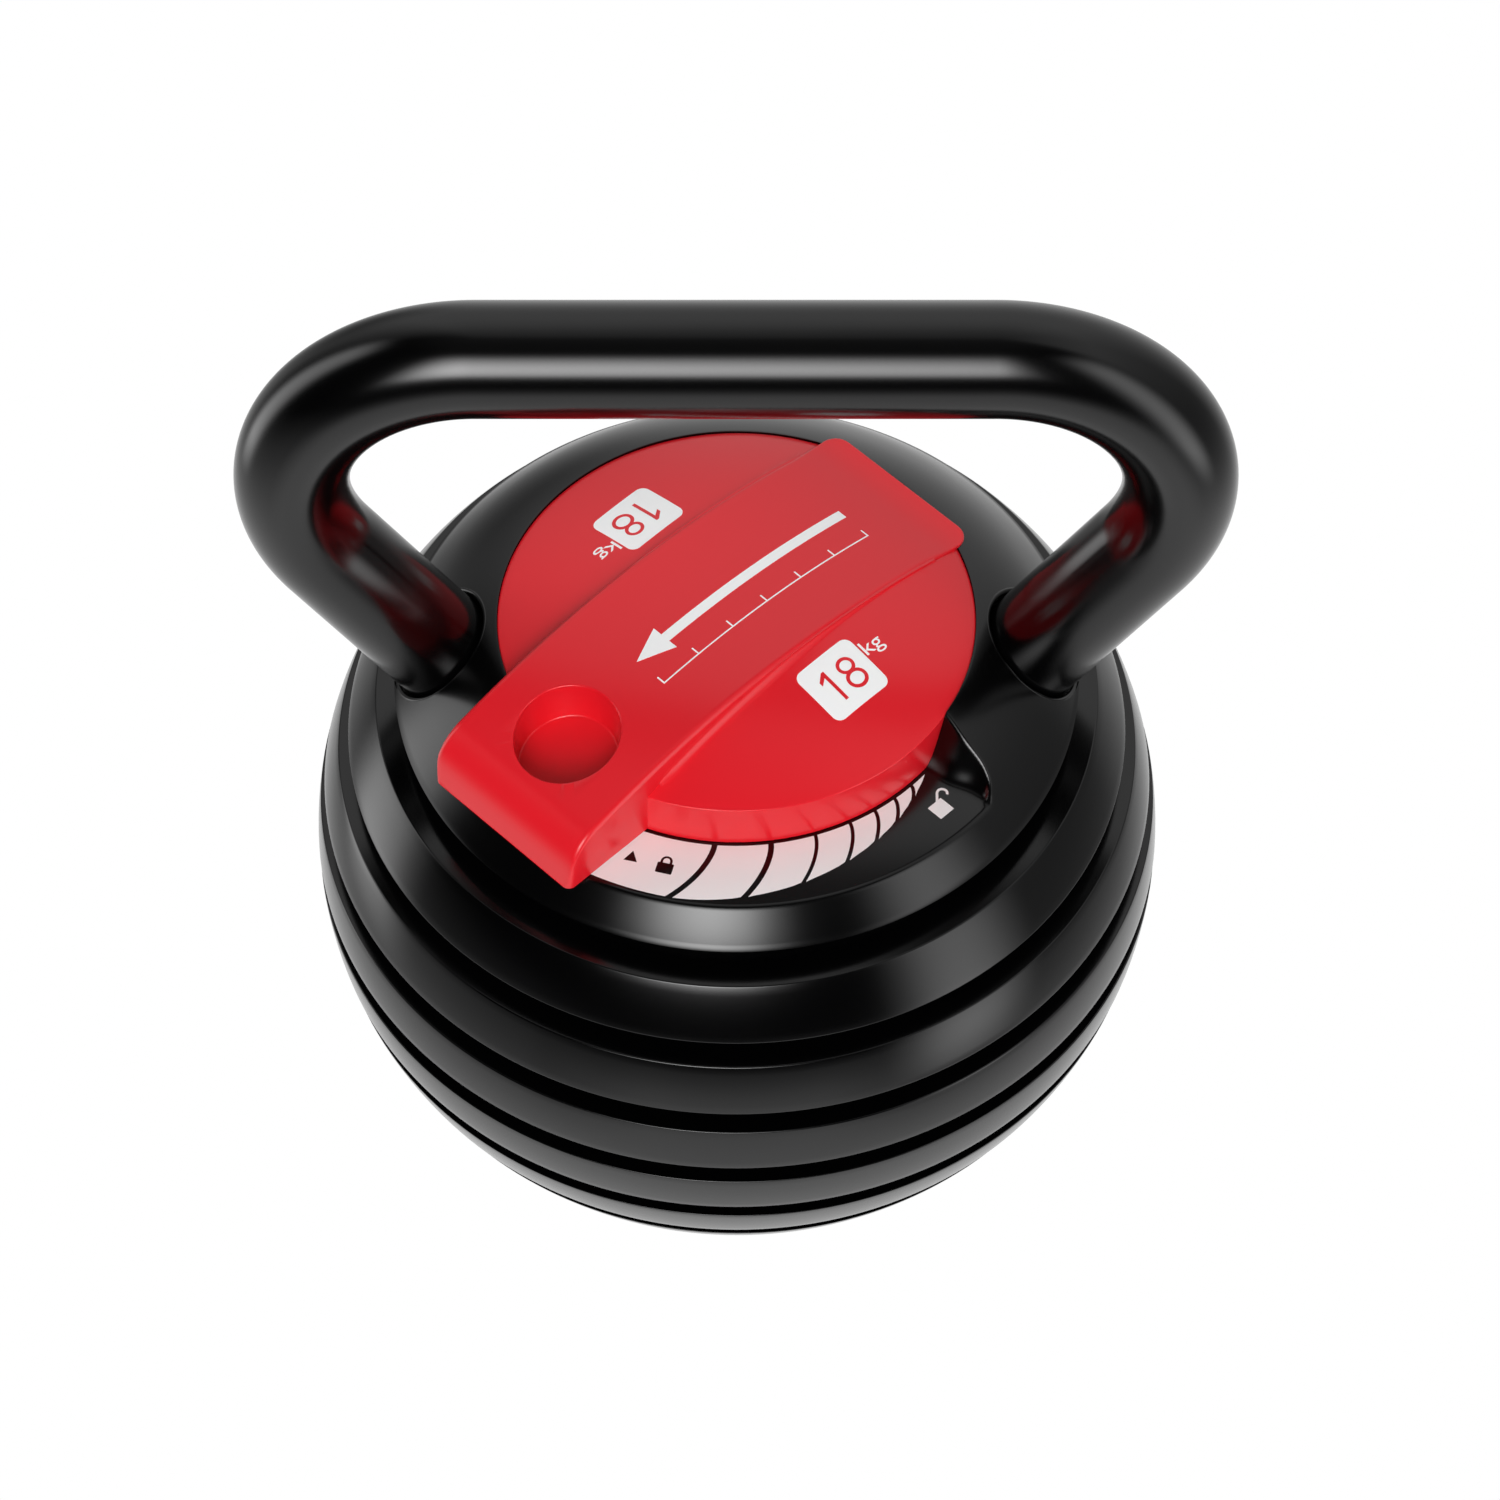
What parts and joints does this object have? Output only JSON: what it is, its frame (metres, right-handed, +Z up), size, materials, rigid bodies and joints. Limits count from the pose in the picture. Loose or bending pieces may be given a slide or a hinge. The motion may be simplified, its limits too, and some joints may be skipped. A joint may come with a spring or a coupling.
{
  "type": "adjustable kettlebell",
  "caption": "Adjustable kettlebell: bent tube handle on a domed cap, a red selector dial with a pointer, and stacked round weight plates locked by a keyed shaft.",
  "frame": {"origin": "centre of the base, on the surface that the kettlebell stands on", "axes": "+Z up through the ball's centre, grip along X, front with the dial's pocket towards -Y"},
  "size_m": [0.2454, 0.22, 0.264],
  "materials": {
    "handle_coating": "satin black powder coat",
    "cap_plastic": "satin black moulded plastic",
    "label_print": "white printed scale",
    "dial_plastic": "satin red moulded plastic",
    "plate_iron": "satin black paint on cast iron",
    "foot_rubber": "matt black rubber",
    "steel": "machined and zinc plated",
    "bush_bronze": "sintered bronze"
  },
  "bodies": {
    "housing": {"handle_tube": "handle_coating", "top_cap": "cap_plastic", "scale_label": "label_print", "plate_1": "plate_iron", "plate_2": "plate_iron", "plate_3": "plate_iron", "plate_4": "plate_iron", "plate_5": "plate_iron", "plate_6": "plate_iron", "foot_ring": "foot_rubber", "bearing_plate": "steel", "bearing_screw_1": "steel", "bearing_screw_2": "steel", "bearing_screw_3": "steel", "bearing_screw_4": "steel", "wave_washer": "steel", "stop_pin": "steel", "shaft_bush": "bush_bronze"},
    "dial": {"lock_dial": "dial_plastic", "dial_screw_1": "steel", "dial_screw_2": "steel", "dial_screw_3": "steel", "lock_shaft": "steel", "retaining_ring": "steel"}
  },
  "joints": [
    {"name": "dial_turn", "type": "hinge", "parent": "housing", "child": "dial", "pos_m": [0, 0, 0.1361], "axis": [0, 0, 1], "range_deg": [0, 74]}
  ]
}
